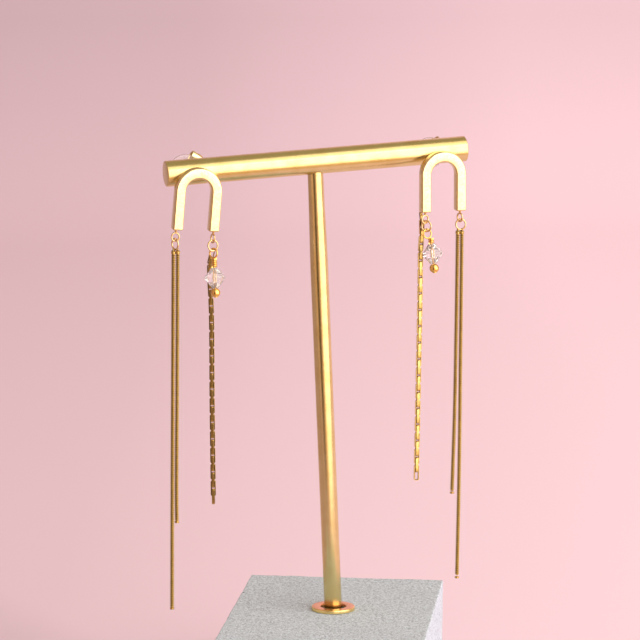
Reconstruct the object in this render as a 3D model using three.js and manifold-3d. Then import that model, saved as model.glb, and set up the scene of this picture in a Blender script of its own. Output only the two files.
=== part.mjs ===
// A pair of long chain dangle earrings, hung on a brass T-bar stand with a cast block as its foot.
// Each earring is a U-shaped arch of square bar with a stud at its top. One leg carries two strands
// of snake chain, the other a crystal drop in front of a strand of box chain.
// Millimetres. +X runs along the hanging bar to the viewer's right, -Y is the front, +Z is up, and
// the origin is the middle of the block's underside, below the foot of the post.

import * as THREE from 'three';
import { mergeVertices } from 'three/addons/utils/BufferGeometryUtils.js';
import { RoundedBoxGeometry } from 'three/addons/geometries/RoundedBoxGeometry.js';
import Module from 'manifold-3d';

const wasm = await Module();
wasm.setup();

// ---------------------------------------------------------------- driving dimensions

const GAP = 0.15; // air left between pieces that touch on the real thing

const BLOCK = { width: 60.6, depth: 84, height: 30, edge: 2.2, turnDeg: -21.2 };
const SOCKET = { radius: 3.6, depth: 12 };
const FLANGE = { radius: 6.5, thickness: 1.0, edge: 0.25 };
const POST = { radius: 2.62, neckRadius: 2.3, neckLength: 10, taper: 20, intoSocket: 9.5 };
const BAR = { radius: 3.75, length: 90.4, shift: 0.6, edge: 0.25, aboveBlock: 136.3 };
const LEAN = { leftDeg: 3.4, forwardDeg: 3.1 }; // the post stands loose in its socket

const ARCH = { width: 13.7, section: 3.04, edge: 0.45, toe: 0.55, bendPieces: 16, toePieces: 2 };
const STUD = { radius: 0.45, length: 11.2, boreRadius: 0.85 };
const PAD = { radius: 4.6, thickness: 1.0, edge: 0.2 };
const CLUTCH = { reach: 3.0, curl: 1.3, strip: 0.45, width: 3.3, nip: 1.0 };

const EYE = { width: 2.7, tall: 1.1, wire: 0.25, neck: 0.65, neckRadius: 0.42 };
const RING = { width: 3.35, tall: 1.1, wire: 0.26 };
const SNAKE = { radius: 0.62 };
const BOX_CHAIN = { radius: 0.85 };
const PIN = { loop: 3.2, wire: 0.25, wrapRadius: 1.0, coil: 0.55, shaft: 0.3, head: 0.42 };
const LOOP = { width: PIN.loop, tall: 1, wire: PIN.wire };
const CRYSTAL = { radius: 3.0, height: 5.8, tableRadius: 0.9, sides: 8, bore: 0.5 };
const BEAD = { radius: 1.38, height: 2.4, bore: 0.55 };

// Sides of round pieces: [round the piece, along it]
const RING_SIDES = [6, 18];
const CHAIN_SIDES = 8;
const STEP = { snake: 5.5, boxChain: 3.4 };

// The two earrings as seen from the front. `stud` is where the stud crosses the bar: along the bar
// from the post, and above the bar's axis. `swingDeg` turns the arch about its stud, legs towards
// +X when positive. The snake chains hang from the outer leg, the drop from the inner one.
const EARRINGS = [
  {
    name: 'left', outer: -1, stud: { along: -35.7, above: 0.35 }, archHeight: 18.2, swingDeg: -7.4,
    clutchTurnDeg: 64, padShift: [-2.0, -0.75],
    snakeEye: { turnDeg: 0, shift: -0.3 }, snakeRing: { turnDeg: -64, across: -0.1 },
    dropEye: { turnDeg: -75, shift: 0.1 }, dropRing: { turnDeg: 4, across: 0.05 },
    pin: { turnDeg: -51, across: 0.15, forwardDeg: 11, leftDeg: 0, shaftShift: 0.08, coils: 5 },
    strands: {
      long: [
        { down: 6.35, across: -1.1, back: 0 },
        { down: 45, across: -1.4, back: 0 },
        { down: 80, across: -1.7, back: 0 },
        { down: 111.6, across: -1.88, back: 0 },
      ],
      short: [
        { down: 6.35, across: 0.2, back: 0 },
        { down: 45, across: -0.1, back: 0 },
        { down: 80, across: -0.39, back: 0 },
        { down: 85.9, across: -0.32, back: 0 },
      ],
      box: [
        { down: 6.4, across: 0.1, back: 1.7 },
        { down: 9, across: -0.35, back: 2.4 },
        { down: 14, across: -0.3, back: 2.9 },
        { down: 20, across: 0.05, back: 3.0 },
        { down: 25, across: 0.2, back: 3.0 },
        { down: 50, across: 0.35, back: 3.0 },
        { down: 81.4, across: 0.7, back: 3.0 },
      ],
    },
  },
  {
    name: 'right', outer: 1, stud: { along: 37.2, above: -0.82 }, archHeight: 17.75, swingDeg: -2.0,
    clutchTurnDeg: 40, padShift: [-1.0, -0.35],
    snakeEye: { turnDeg: -66, shift: 0 }, snakeRing: { turnDeg: -10, across: 0.3 },
    dropEye: { turnDeg: 20, shift: 0 }, dropRing: { turnDeg: -36, across: 0.4 },
    pin: { turnDeg: 18, across: 0.3, forwardDeg: 11, leftDeg: -4, shaftShift: 0.9, coils: 3 },
    strands: {
      long: [
        { down: 6.35, across: 0.68, back: 0 },
        { down: 40, across: 0.64, back: 0 },
        { down: 80, across: 0.56, back: 0 },
        { down: 110.7, across: 0.2, back: 0 },
      ],
      short: [
        { down: 6.35, across: -0.62, back: 0 },
        { down: 40, across: -0.82, back: 0 },
        { down: 59, across: -1.0, back: 0 },
        { down: 84.8, across: -1.6, back: 0 },
      ],
      box: [
        { down: 1.2, across: -0.65, back: 2.0 },
        { down: 5, across: -0.1, back: 2.6 },
        { down: 9.5, across: -0.4, back: 2.8 },
        { down: 13, across: -0.45, back: 2.9 },
        { down: 25, across: -0.5, back: 2.9 },
        { down: 50, across: -0.8, back: 2.9 },
        { down: 80.9, across: -1.2, back: 2.9 },
      ],
    },
  },
];

// ---------------------------------------------------------------- finishes

const FINISH = {
  block: { color: 0xc6c5c1, roughness: 0.95, metalness: 0 },
  satinGold: { color: 0xd2ab52, roughness: 0.35, metalness: 1 },
  coppery: { color: 0xc98a55, roughness: 0.4, metalness: 1 },
  polishedGold: { color: 0xe3c06a, roughness: 0.15, metalness: 1 },
  warmGold: { color: 0xe0a33c, roughness: 0.2, metalness: 1 },
  chainGold: { color: 0xcda24c, roughness: 0.25, metalness: 1 },
  clearPad: { color: 0xf4f0ee, roughness: 0.25, metalness: 0, transparent: true, opacity: 0.35 },
  crystal: { color: 0xf6f6fa, roughness: 0.02, metalness: 0, transparent: true, opacity: 0.35 },
};

// ---------------------------------------------------------------- helpers

const deg = THREE.MathUtils.degToRad;
const matrix = () => new THREE.Matrix4();

/** A named mesh with a material of its own. */
function piece(name, geometry, finish) {
  const mesh = new THREE.Mesh(geometry, new THREE.MeshStandardMaterial(FINISH[finish]));
  mesh.name = name;
  return mesh;
}

/** A three.js geometry as a solid that can be joined and cut. */
function solid(geometry) {
  const bare = geometry.clone();
  for (const name of Object.keys(bare.attributes)) {
    if (name !== 'position') bare.deleteAttribute(name);
  }
  const merged = mergeVertices(bare, 1e-5);
  return new wasm.Manifold(new wasm.Mesh({
    numProp: 3,
    vertProperties: new Float32Array(merged.attributes.position.array),
    triVerts: new Uint32Array(merged.index.array),
  }));
}

/** A joined or cut solid as a three.js geometry. */
function geometryOf(body) {
  const mesh = body.getMesh();
  const geometry = new THREE.BufferGeometry();
  geometry.setAttribute('position', new THREE.BufferAttribute(new Float32Array(mesh.vertProperties), 3));
  geometry.setIndex(new THREE.BufferAttribute(new Uint32Array(mesh.triVerts), 1));
  return geometry;
}

/** A cylinder along +Z from z = low to z = high. */
function rod(radius, low, high, sides) {
  const geometry = new THREE.CylinderGeometry(radius, radius, high - low, sides);
  return geometry.rotateX(deg(90)).translate(0, 0, (low + high) / 2);
}

/** A closed turned form about +Z from [radius, height] pairs, going up the outside. */
function turned(profile, sides) {
  const points = profile.map(([radius, height]) => new THREE.Vector2(radius, height));
  return new THREE.LatheGeometry(points, sides).rotateX(deg(90));
}

/** An upright wire ring about its own centre, turned about Z, taller than it is wide. */
function wireRing({ width, tall, wire }, turnDeg) {
  const geometry = new THREE.TorusGeometry(width / 2 - wire, wire, ...RING_SIDES);
  return geometry.rotateX(deg(90)).scale(1, 1, tall).rotateZ(deg(turnDeg));
}

/** Half the height of an upright wire ring, to the outside of its wire. */
const halfHeight = ({ width, tall }) => (width / 2) * tall;

/** How far apart the centres of two rings are when the second hangs in the first. */
function hangDistance(upper, lower) {
  const wires = (upper.wire * upper.tall + lower.wire * lower.tall) * 2 + GAP;
  return halfHeight(upper) + halfHeight(lower) - wires;
}

/** A round strand along a smooth curve through the rows of a hanging table. */
function strand(from, rows, radius, step) {
  const points = rows.map((row) => new THREE.Vector3(
    from.x + row.across, from.y + row.back, from.z - row.down,
  ));
  const curve = new THREE.CatmullRomCurve3(points, false, 'centripetal');
  const section = new THREE.Shape();
  section.absarc(0, 0, radius, 0, 2 * Math.PI, false);
  return new THREE.ExtrudeGeometry(section, {
    extrudePath: curve,
    steps: Math.ceil(curve.getLength() / step),
    curveSegments: CHAIN_SIDES / 2,
  });
}

// ---------------------------------------------------------------- stand

/** The cast block: soft edges, and a blind socket for the post in the middle of its top. */
function baseBlock() {
  const { width, depth, height, edge, turnDeg } = BLOCK;
  const body = new RoundedBoxGeometry(width, depth, height, 2, edge);
  body.translate(0, 0, height / 2).rotateZ(deg(turnDeg));
  const socket = rod(SOCKET.radius, height - SOCKET.depth, height + 1, 32);
  return geometryOf(solid(body).subtract(solid(socket)));
}

/** The flat brass ring round the socket's mouth. */
function baseFlange() {
  const { radius, thickness, edge } = FLANGE;
  const inner = SOCKET.radius;
  return turned([
    [inner, 0], [radius, 0], [radius, thickness - edge], [radius - edge, thickness],
    [inner + edge, thickness], [inner, thickness - edge], [inner, 0],
  ], 40);
}

/** The post: slightly necked below the bar, and hollowed at its top to fit round its underside. */
function post() {
  const { radius, neckRadius, neckLength, taper, intoSocket } = POST;
  const neckFoot = BAR.aboveBlock - neckLength;
  const top = BAR.aboveBlock - BAR.radius / 2;
  const shaft = turned([
    [0, -intoSocket], [radius, -intoSocket], [radius, neckFoot - taper],
    [neckRadius, neckFoot], [neckRadius, top], [0, top],
  ], 32);
  const saddle = rod(BAR.radius + GAP, -2 * POST.radius, 2 * POST.radius, 48);
  saddle.rotateY(deg(90)).translate(0, 0, BAR.aboveBlock);
  return geometryOf(solid(shaft).subtract(solid(saddle)));
}

/** The hanging bar, drilled through from front to back for the two studs. */
function hangBar() {
  const { radius, length, shift, edge, aboveBlock } = BAR;
  const round = turned([
    [0, -length / 2], [radius - edge, -length / 2], [radius, edge - length / 2],
    [radius, length / 2 - edge], [radius - edge, length / 2], [0, length / 2],
  ], 48);
  let body = solid(round.rotateY(deg(90)).translate(shift, 0, aboveBlock));
  for (const { stud } of EARRINGS) {
    const bore = rod(STUD.boreRadius, -2 * radius, 2 * radius, 16).rotateX(deg(90));
    body = body.subtract(solid(bore.translate(stud.along, 0, aboveBlock + stud.above)));
  }
  return geometryOf(body);
}

// ---------------------------------------------------------------- arch, stud and clutch

/** Points round part of a circle, from one angle to the other in degrees. */
function arc(x, y, radius, fromDeg, toDeg, pieces) {
  return Array.from({ length: pieces + 1 }, (_, i) => {
    const angle = deg(fromDeg + (toDeg - fromDeg) * (i / pieces));
    return new THREE.Vector2(x + radius * Math.cos(angle), y + radius * Math.sin(angle));
  });
}

/** A U outline, its top bar's middle at height 0, with softened toes at the ends of its legs. */
function archOutline(height) {
  const outer = ARCH.width / 2;
  const inner = outer - ARCH.section;
  const { toe, bendPieces, toePieces } = ARCH;
  const crown = ARCH.section / 2 - outer; // height of the bend's centre
  const foot = ARCH.section / 2 - height + toe;
  const legFoot = (left, right) => [
    ...arc(left + toe, foot, toe, 180, 270, toePieces),
    ...arc(right - toe, foot, toe, 270, 360, toePieces),
  ];
  return new THREE.Shape([
    ...legFoot(-outer, -inner),
    ...arc(0, crown, inner, 180, 0, bendPieces),
    ...legFoot(inner, outer),
    ...arc(0, crown, outer, 0, 180, bendPieces),
  ]);
}

/** Where the middle of a leg ends, in the arch's own frame. side is -1 or 1. */
function legEnd(height, side) {
  return new THREE.Vector3(side * (ARCH.width - ARCH.section) / 2, 0, ARCH.section / 2 - height);
}

/** The arch with its stud and the two eyes soldered under its legs, all one solid. */
function arch({ archHeight, outer, snakeEye, dropEye }) {
  const { section, edge } = ARCH;
  const bar = new THREE.ExtrudeGeometry(archOutline(archHeight), {
    depth: section - 2 * edge, bevelThickness: edge, bevelSize: edge, bevelOffset: -edge,
    bevelSegments: 2,
  });
  bar.rotateX(deg(90)).translate(0, section / 2 - edge, 0);
  let body = solid(bar).add(solid(rod(STUD.radius, 0, STUD.length, 16).rotateX(deg(-90))));
  for (const [eye, side] of [[snakeEye, outer], [dropEye, -outer]]) {
    const end = legEnd(archHeight, side);
    const neck = rod(EYE.neckRadius, -EYE.neck - 2 * EYE.wire, edge, 8);
    const ring = wireRing(EYE, eye.turnDeg).translate(0, 0, -EYE.neck - halfHeight(EYE));
    for (const part of [neck, ring]) {
      body = body.add(solid(part.translate(end.x + eye.shift, end.y, end.z)));
    }
  }
  return geometryOf(body);
}

/** The clear soft pad between bar and clutch, on the stud but not always centred on it. */
function clutchPad([across, up]) {
  const { radius, thickness, edge } = PAD;
  const disc = turned([
    [0, 0], [radius - edge, 0], [radius, edge], [radius, thickness - edge],
    [radius - edge, thickness], [0, thickness],
  ], 28).rotateX(deg(-90)).translate(across, 0, up);
  const bore = rod(STUD.radius + GAP, -1, thickness + 1, 12).rotateX(deg(-90));
  return geometryOf(solid(disc).subtract(solid(bore)));
}

/** The butterfly clutch: one strip, both ends curled back to nip the stud. */
function clutch(turnDeg) {
  const { reach, curl, strip, width, nip } = CLUTCH;
  const half = [];
  for (let i = 0; i <= 8; i += 1) {
    const angle = Math.PI * (i / 8 - 0.5);
    half.push(new THREE.Vector2(reach + curl * Math.cos(angle), curl + curl * Math.sin(angle)));
  }
  half.push(new THREE.Vector2(nip, 1.5 * curl));
  const mirrored = half.map((point) => new THREE.Vector2(-point.x, point.y)).reverse();
  const line = [...mirrored, ...half];
  const side = line.map((point, i) => {
    const before = line[Math.max(i - 1, 0)];
    const after = line[Math.min(i + 1, line.length - 1)];
    const along = after.clone().sub(before).normalize();
    return new THREE.Vector2(-along.y, along.x).multiplyScalar(strip / 2);
  });
  const outline = [
    ...line.map((point, i) => point.clone().sub(side[i])),
    ...line.map((point, i) => point.clone().add(side[i])).reverse(),
  ];
  const body = new THREE.ExtrudeGeometry(new THREE.Shape(outline), {
    depth: width, bevelEnabled: false,
  });
  body.translate(0, strip / 2, -width / 2);
  const bore = rod(STUD.radius + GAP, -1, 2 * curl + 1, 12).rotateX(deg(-90));
  return geometryOf(solid(body).subtract(solid(bore))).rotateY(deg(-turnDeg));
}

// ---------------------------------------------------------------- what hangs from the legs

/** Head pin: loop on top, wrapped neck, shaft through crystal and bead, small head at its end. */
function headPin({ turnDeg, shaftShift, coils }, reach) {
  const loop = wireRing(LOOP, turnDeg);
  const neckTop = -PIN.loop / 2 + PIN.wire;
  const profile = [[0, neckTop - coils * PIN.coil]];
  for (let turn = coils; turn > 0; turn -= 1) {
    const low = neckTop - turn * PIN.coil;
    profile.push([PIN.wrapRadius * 0.75, low], [PIN.wrapRadius, low + PIN.coil / 2]);
  }
  profile.push([PIN.wrapRadius * 0.75, neckTop], [0, neckTop]);
  const wrap = turned(profile, 14);
  const shaft = rod(PIN.shaft, -reach, neckTop, 8);
  const head = rod(PIN.head, -reach - 0.3, -reach, 8);
  const below = [wrap, shaft, head].map((part) => solid(part.translate(shaftShift, 0, 0)));
  return geometryOf(below.reduce((body, part) => body.add(part), solid(loop)));
}

/** Bicone crystal, bored for the pin. */
function crystal() {
  const { radius, height, tableRadius, sides, bore } = CRYSTAL;
  const form = turned([
    [0, -height / 2], [tableRadius, -height / 2], [radius, 0], [tableRadius, height / 2],
    [0, height / 2],
  ], sides);
  return geometryOf(solid(form).subtract(solid(rod(bore, -height, height, 8))));
}

/** Round metal bead, flattened at its two ends and bored for the pin. */
function bead() {
  const { radius, height, bore } = BEAD;
  const profile = [[bore, -height / 2]];
  const cap = Math.acos(height / 2 / radius);
  for (let i = 0; i <= 7; i += 1) {
    const angle = cap + (Math.PI - 2 * cap) * (i / 7);
    profile.push([radius * Math.sin(angle), -radius * Math.cos(angle)]);
  }
  profile.push([bore, height / 2], [bore, -height / 2]);
  return turned(profile, 16);
}

// ---------------------------------------------------------------- assembly

const object = new THREE.Group();

object.add(piece('base_block', baseBlock(), 'block'));
const flange = piece('base_flange', baseFlange(), 'coppery');
flange.position.z = BLOCK.height + GAP;
object.add(flange);

const tBar = new THREE.Group();
tBar.position.z = BLOCK.height;
tBar.rotation.set(deg(LEAN.forwardDeg), deg(-LEAN.leftDeg), 0, 'YXZ');
tBar.add(piece('post', post(), 'satinGold'));
tBar.add(piece('hang_bar', hangBar(), 'satinGold'));
object.add(tBar);

for (const earring of EARRINGS) {
  const { name, outer, stud, archHeight, swingDeg, snakeEye, dropEye, pin, strands } = earring;

  // On the bar: the arch in front, its stud through the bore, pad and clutch behind.
  const onStud = new THREE.Group();
  onStud.position.set(stud.along, 0, BAR.aboveBlock + stud.above);
  onStud.rotation.y = deg(-swingDeg);
  const front = -BAR.radius - GAP - ARCH.section / 2;
  const archMesh = piece(`${name}_arch`, arch(earring), 'polishedGold');
  archMesh.position.y = front;
  const pad = piece(`${name}_clutch_pad`, clutchPad(earring.padShift), 'clearPad');
  pad.position.y = BAR.radius + GAP;
  const clutchMesh = piece(`${name}_clutch`, clutch(earring.clutchTurnDeg), 'polishedGold');
  clutchMesh.position.y = BAR.radius + PAD.thickness + 2 * GAP;
  onStud.add(archMesh, pad, clutchMesh);
  tBar.add(onStud);
  object.updateMatrixWorld(true);

  // Below the legs everything hangs straight down, whatever the stand's lean.
  const snakeEnd = archMesh.localToWorld(legEnd(archHeight, outer));
  const dropEnd = archMesh.localToWorld(legEnd(archHeight, -outer));
  const eyeDown = EYE.neck + halfHeight(EYE);
  const eyeAt = (side, eye) => archMesh.localToWorld(
    legEnd(archHeight, side).add(new THREE.Vector3(eye.shift, 0, -eyeDown)),
  );

  for (const [label, side, eye] of [['snake', outer, snakeEye], ['drop', -outer, dropEye]]) {
    const { turnDeg, across } = earring[`${label}Ring`];
    const centre = eyeAt(side, eye);
    const ring = piece(`${name}_${label}_ring`, wireRing(RING, turnDeg), 'warmGold');
    ring.position.set(centre.x + across, centre.y, centre.z - hangDistance(EYE, RING));
    object.add(ring);
  }

  for (const size of ['long', 'short']) {
    const tube = strand(snakeEnd, strands[size], SNAKE.radius, STEP.snake);
    object.add(piece(`${name}_snake_${size}`, tube, 'chainGold'));
  }
  const boxTube = strand(dropEnd, strands.box, BOX_CHAIN.radius, STEP.boxChain);
  object.add(piece(`${name}_box_chain`, boxTube, 'chainGold'));

  // The drop hangs in the ring's lower bend, tipped forward by the chain behind it.
  const drop = new THREE.Group();
  const ringAt = object.getObjectByName(`${name}_drop_ring`).position;
  drop.position.copy(ringAt);
  drop.position.x += pin.across;
  drop.position.z -= hangDistance(RING, LOOP);
  drop.rotation.set(deg(pin.forwardDeg) * -1, deg(pin.leftDeg), 0, 'YXZ');
  const wrapDown = PIN.loop / 2 - PIN.wire + pin.coils * PIN.coil;
  const crystalDown = wrapDown + GAP + CRYSTAL.height / 2;
  const beadDown = crystalDown + CRYSTAL.height / 2 + GAP + BEAD.height / 2;
  const crystalMesh = piece(`${name}_crystal`, crystal(), 'crystal');
  crystalMesh.position.set(pin.shaftShift, 0, -crystalDown);
  const beadMesh = piece(`${name}_bead`, bead(), 'warmGold');
  beadMesh.position.set(pin.shaftShift, 0, -beadDown);
  drop.add(
    piece(`${name}_head_pin`, headPin(pin, beadDown + BEAD.height / 4), 'warmGold'),
    crystalMesh, beadMesh,
  );
  object.add(drop);
}

export default object;
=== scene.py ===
"""A pair of long chain dangle earrings on a brass T-bar stand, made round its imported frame.

Pieces are modelled in millimetres about their own middle, then placed in the frame in metres.
+X runs along the hanging bar to the viewer's right, -Y is the front and +Z is up.
"""

import logging
import math
from collections.abc import Callable, Iterator, Sequence
from contextlib import contextmanager
from dataclasses import dataclass, field
from enum import Enum

import bmesh
import bpy
from mathutils import Matrix, Vector


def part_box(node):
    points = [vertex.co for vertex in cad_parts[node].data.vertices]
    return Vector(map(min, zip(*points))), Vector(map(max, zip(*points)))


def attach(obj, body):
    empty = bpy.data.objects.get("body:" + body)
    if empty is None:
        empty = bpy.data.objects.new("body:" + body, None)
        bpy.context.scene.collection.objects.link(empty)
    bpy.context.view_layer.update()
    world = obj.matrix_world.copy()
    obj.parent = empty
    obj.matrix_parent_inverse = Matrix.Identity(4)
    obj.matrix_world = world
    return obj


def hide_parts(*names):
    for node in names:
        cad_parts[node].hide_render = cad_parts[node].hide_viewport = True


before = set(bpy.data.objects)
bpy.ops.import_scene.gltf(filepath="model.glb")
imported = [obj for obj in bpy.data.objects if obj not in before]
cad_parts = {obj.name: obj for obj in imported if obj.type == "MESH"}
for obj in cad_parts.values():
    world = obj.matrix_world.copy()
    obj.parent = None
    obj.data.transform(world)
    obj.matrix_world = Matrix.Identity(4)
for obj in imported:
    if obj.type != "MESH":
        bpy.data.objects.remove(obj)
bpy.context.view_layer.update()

LOG = logging.getLogger("earrings")
MM = 0.001
FULL_TURN = 2 * math.pi
MERGE = 1e-4  # millimetres

Point = tuple[float, float, float]
Colour = tuple[float, float, float]
Piece = bpy.types.Object
Finish = bpy.types.Material


def toward(azimuth_deg: float, elevation_deg: float, squash: float = 1.0) -> Vector:
    """A direction: azimuth 0 is straight in front and positive is to the right."""
    a, e = math.radians(azimuth_deg), math.radians(elevation_deg)
    return Vector((math.sin(a) * math.cos(e), -math.cos(a) * math.cos(e), squash * math.sin(e)))


# ---- shader arithmetic


class Wire:
    """An output socket that can be used in plain arithmetic."""

    def __init__(self, graph: "Graph", socket: bpy.types.NodeSocket) -> None:
        """Keep the socket and the graph that it belongs to."""
        self.graph = graph
        self.socket = socket

    def _math(self, operation: str, first: "Value", second: "Value") -> "Wire":
        """One Math node on two values."""
        return self.graph.node("ShaderNodeMath", {"operation": operation}, {0: first, 1: second})

    def __add__(self, other: "Value") -> "Wire":
        """self + other."""
        return self._math("ADD", self, other)

    __radd__ = __add__

    def __mul__(self, other: "Value") -> "Wire":
        """self * other."""
        return self._math("MULTIPLY", self, other)

    __rmul__ = __mul__


Value = Wire | float | int | Sequence[float]


class Graph:
    """The node tree of a material or a world, with one method that makes any node."""

    def __init__(self, name: str, surroundings: bool = False) -> None:
        """Start a node tree, a world's if it is for surroundings, that has only its output node."""
        self.owner = bpy.data.worlds.new(name) if surroundings else bpy.data.materials.new(name)
        self.owner.use_nodes = True
        self.tree = self.owner.node_tree
        self.tree.nodes.clear()
        self.output = self.tree.nodes.new(f"ShaderNodeOutput{'World' if surroundings else 'Material'}")

    def node(self, kind: str, settings: dict[str, object] | None = None,
             values: dict[int | str, Value] | None = None, out: int | str = 0) -> Wire:
        """Make a node.

        Args:
            kind: the node's type name.
            settings: properties to set first; "stops" gives a ramp's (place, grey or colour) pairs.
            values: a number, colour or Wire for each input, by index or name.
            out: the output that is wanted.

        Returns:
            The output as a Wire.
        """
        made = self.tree.nodes.new(kind)
        for key, value in (settings or {}).items():
            if key == "stops":
                self._set_stops(made.color_ramp, value)
            else:
                setattr(made, key, value)
        for key, value in (values or {}).items():
            if isinstance(value, Wire):
                self.tree.links.new(value.socket, made.inputs[key])
            else:
                made.inputs[key].default_value = value
        return Wire(self, made.outputs[out])

    @staticmethod
    def _set_stops(ramp: bpy.types.ColorRamp, stops: Sequence[tuple[float, Colour | float]]) -> None:
        """Give a colour ramp its stops."""
        while len(ramp.elements) < len(stops):
            ramp.elements.new(0.5)
        for element, (place, colour) in zip(ramp.elements, stops):
            shade = (colour,) * 3 if isinstance(colour, (int, float)) else tuple(colour)
            element.position = place
            element.color = (*shade, 1.0)

    def place(self, stretch: Point = (1, 1, 1)) -> Wire:
        """Object coordinates, scaled along each axis."""
        where = self.node("ShaderNodeTexCoord", out="Object")
        return self.node("ShaderNodeMapping", {}, {0: where, 3: stretch})

    def axis(self, where: Wire, name: str) -> Wire:
        """One coordinate of a place or a direction: X, Y or Z."""
        return self.node("ShaderNodeSeparateXYZ", {}, {0: where}, out=name)

    def noise(self, where: Wire, scale: float, detail: float = 3.0) -> Wire:
        """Grey noise, a scale of 1000 having features of about a millimetre."""
        return self.node("ShaderNodeTexNoise", {}, {"Vector": where, "Scale": scale, "Detail": detail})

    def ramp(self, factor: Wire, *stops: tuple[float, Colour | float]) -> Wire:
        """A colour ramp."""
        return self.node("ShaderNodeValToRGB", {"stops": stops}, {0: factor})

    def mix(self, factor: Value, first: Value, second: Value, blend: str = "MIX") -> Wire:
        """A colour that goes from first to second."""
        first, second = (value if isinstance(value, Wire) else (*value, 1.0) for value in (first, second))
        settings = {"data_type": "RGBA", "blend_type": blend}
        return self.node("ShaderNodeMix", settings, {0: factor, 6: first, 7: second}, out=2)

    def facing(self, way: Wire, azimuth_deg: float, elevation_deg: float, squash: float) -> Wire:
        """How nearly a direction points one way, 1 straight at it.

        Args:
            way: the direction.
            azimuth_deg: as for toward.
            elevation_deg: as for toward.
            squash: below 1 for a patch taller than it is wide.

        Returns:
            The cosine of the angle between them.
        """
        aim = toward(azimuth_deg, elevation_deg, squash).normalized()
        flat = self.node("ShaderNodeVectorMath", {"operation": "MULTIPLY"}, {0: way, 1: (1, 1, squash)})
        unit = self.node("ShaderNodeVectorMath", {"operation": "NORMALIZE"}, {0: flat})
        return self.node("ShaderNodeVectorMath", {"operation": "DOT_PRODUCT"}, {0: unit, 1: aim}, out="Value")

    def bump(self, height: Wire, distance: float, strength: float = 1.0) -> Wire:
        """A bumped normal, distance in metres."""
        return self.node("ShaderNodeBump", {}, {"Height": height, "Distance": distance, "Strength": strength})

    def finish(self, **values: Value) -> Finish:
        """Close the graph with a Principled shader.

        Args:
            **values: its inputs by name, with _ for a blank.

        Returns:
            The material.
        """
        named = {key.replace("_", " "): value for key, value in values.items()}
        shader = self.node("ShaderNodeBsdfPrincipled", {}, named)
        self.tree.links.new(shader.socket, self.output.inputs["Surface"])
        return self.owner


# ---- finishes


class Brushing(Enum):
    """Which way a satin metal was brushed, as the stretch of its scratches."""

    ALONG_BAR = (0.04, 1.0, 1.0)
    ALONG_POST = (1.0, 1.0, 0.04)


@dataclass(frozen=True)
class SatinBrass:
    """Brass brushed along its length, with faint cloudy wear and a few nicks."""

    brushing: Brushing
    colour: Colour = (0.76, 0.62, 0.29)
    worn: Colour = (0.70, 0.54, 0.22)
    roughness: float = 0.18
    scratch: float = 9e-6

    def material(self) -> Finish:
        """Build the material."""
        g = Graph(f"satin_brass_{self.brushing.name.lower()}")
        grain = g.noise(g.place(self.brushing.value), 2600, 4)
        cloud = g.noise(g.place(), 190, 3)
        pits = g.ramp(g.noise(g.place((0.5, 1, 0.5)), 900, 2), (0.28, 0.0), (0.36, 1.0))
        colour = g.mix(g.ramp(cloud, (0.40, 0.0), (0.72, 1.0)), self.colour, self.worn)
        return g.finish(
            Base_Color=colour,
            Metallic=1.0,
            Roughness=self.roughness + 0.08 * grain + 0.06 * cloud,
            Normal=g.bump(grain + 0.7 * pits, self.scratch),
        )


@dataclass(frozen=True)
class PolishedPlate:
    """Polished gold plate with the faint unevenness of hand finishing."""

    name: str
    colour: Colour
    deep: Colour
    roughness: float = 0.12
    ripple: float = 1.6e-5
    # Dark colour, painted as shade where the groove attribute marks chain grooves and link insides.
    groove: Colour = (0.10, 0.055, 0.015)

    def material(self) -> Finish:
        """Build the material; the groove attribute lays the groove's colour over the plate, as painted shade
        in the chains' grooves and inside their links, and as a paler rim on the socket ring.
        """
        g = Graph(self.name)
        ripple = g.noise(g.place(), 420, 2)
        mottle = g.noise(g.place(), 1500, 3)
        plate = g.mix(g.ramp(mottle, (0.42, 0.0), (0.75, 1.0)), self.colour, self.deep)
        grooves = g.node("ShaderNodeAttribute", {"attribute_name": "groove"}, out="Fac")
        return g.finish(
            Base_Color=g.mix(grooves, plate, self.groove),
            Metallic=1.0,
            Roughness=self.roughness + 0.10 * mottle,
            Normal=g.bump(ripple + 0.12 * mottle, self.ripple),
        )


@dataclass(frozen=True)
class CastStone:
    """Pale cast block: fine light and dark grain, soft clouds and a few pinholes, darkened with painted
    shade.
    """

    pale: Colour = (0.54, 0.63, 0.69)
    dark: Colour = (0.29, 0.335, 0.365)
    light: Colour = (0.76, 0.87, 0.94)
    cloud: Colour = (0.49, 0.565, 0.615)
    pinhole_shade: Colour = (0.22, 0.21, 0.20)
    grain: float = 2.2e-4

    def material(self) -> Finish:
        """Build the material."""
        g = Graph("cast_stone")
        where = g.place()
        fine = g.noise(where, 2100, 2)
        coarse = g.noise(where, 900, 3)
        cloud = g.noise(where, 60, 4)
        cells = g.node("ShaderNodeTexVoronoi", {}, {"Vector": where, "Scale": 420.0}, out="Distance")
        holes = g.ramp(cells, (0.05, 0.0), (0.11, 1.0))
        grains = 0.65 * fine + 0.35 * coarse
        specks = g.ramp(grains, (0.36, self.dark), (0.48, self.pale), (0.64, self.light))
        clouded = g.mix(g.ramp(cloud, (0.35, 0.0), (0.75, 0.35)), specks, self.cloud)
        return g.finish(
            # Painted shade: the pinholes take a dark colour as well as a dip in the bump.
            Base_Color=g.mix(holes, self.pinhole_shade, clouded),
            Roughness=0.95,
            Specular_IOR_Level=0.25,
            Normal=g.bump(fine + 0.8 * coarse + 0.5 * holes, self.grain, 0.9),
        )


@dataclass(frozen=True)
class ClearStuff:
    """Cut crystal or clear soft plastic, with a breath of haze."""

    name: str
    colour: Colour
    roughness: float
    index: float
    clear: float

    def material(self) -> Finish:
        """Build the material."""
        g = Graph(self.name)
        haze = g.noise(g.place(), 700, 2)
        return g.finish(
            Base_Color=(*self.colour, 1.0),
            Roughness=self.roughness + self.roughness * haze,
            IOR=self.index,
            Transmission_Weight=self.clear,
        )


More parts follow.
